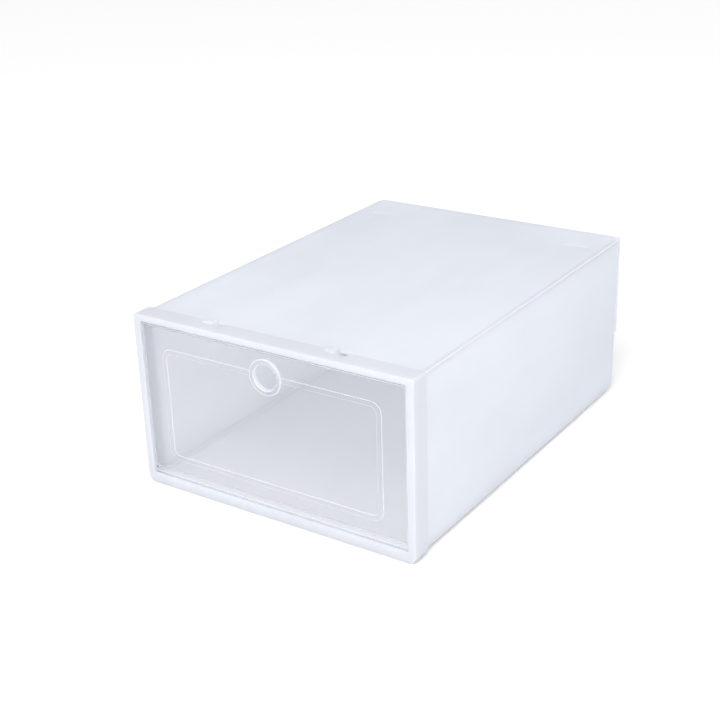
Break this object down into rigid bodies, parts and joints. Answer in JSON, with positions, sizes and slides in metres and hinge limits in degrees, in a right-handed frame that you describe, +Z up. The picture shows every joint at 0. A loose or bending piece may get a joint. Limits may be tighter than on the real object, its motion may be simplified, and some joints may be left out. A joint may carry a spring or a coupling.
{
  "type": "drop-front shoe box",
  "caption": "Stackable folding shoe box: frosted plastic sleeve, push-on front frame and a clear drop-front door with a finger hole",
  "frame": {"origin": "centre of the box's footprint, on the surface it stands on", "axes": "+Z up, the door faces -Y, +X is to the right seen from the front"},
  "size_m": [0.235, 0.3318, 0.1365],
  "materials": {
    "frame_plastic": "milky satin moulded polypropylene",
    "clear_door": "clear, slightly milky moulded plastic",
    "frosted_plastic": "frosted translucent polypropylene sheet"
  },
  "bodies": {
    "sleeve_and_frame": {"front_frame": "frame_plastic", "top_panel": "frosted_plastic", "bottom_panel": "frosted_plastic", "left_wall": "frosted_plastic", "right_wall": "frosted_plastic", "top_left_fold": "frosted_plastic", "top_right_fold": "frosted_plastic", "bottom_left_fold": "frosted_plastic", "bottom_right_fold": "frosted_plastic", "upper_flap_fold": "frosted_plastic", "lower_flap_fold": "frosted_plastic"},
    "drop_front": {"door": "clear_door"},
    "upper_flap": {"upper_back_flap": "frosted_plastic"},
    "lower_flap": {"lower_back_flap": "frosted_plastic"}
  },
  "joints": [
    {"name": "door_flip", "type": "hinge", "parent": "sleeve_and_frame", "child": "drop_front", "pos_m": [0, -0.1615, 0.0115], "axis": [1, 0, 0], "range_deg": [0, 90]},
    {"name": "upper_flap_open", "type": "hinge", "parent": "sleeve_and_frame", "child": "upper_flap", "pos_m": [0, 0.1633, 0.13325], "axis": [1, 0, 0], "range_deg": [0, 90], "deforming": ["upper_flap_fold"]},
    {"name": "lower_flap_fold_in", "type": "hinge", "parent": "sleeve_and_frame", "child": "lower_flap", "pos_m": [0, 0.1568, 0.0039], "axis": [1, 0, 0], "range_deg": [0, 90], "deforming": ["lower_flap_fold"]}
  ]
}
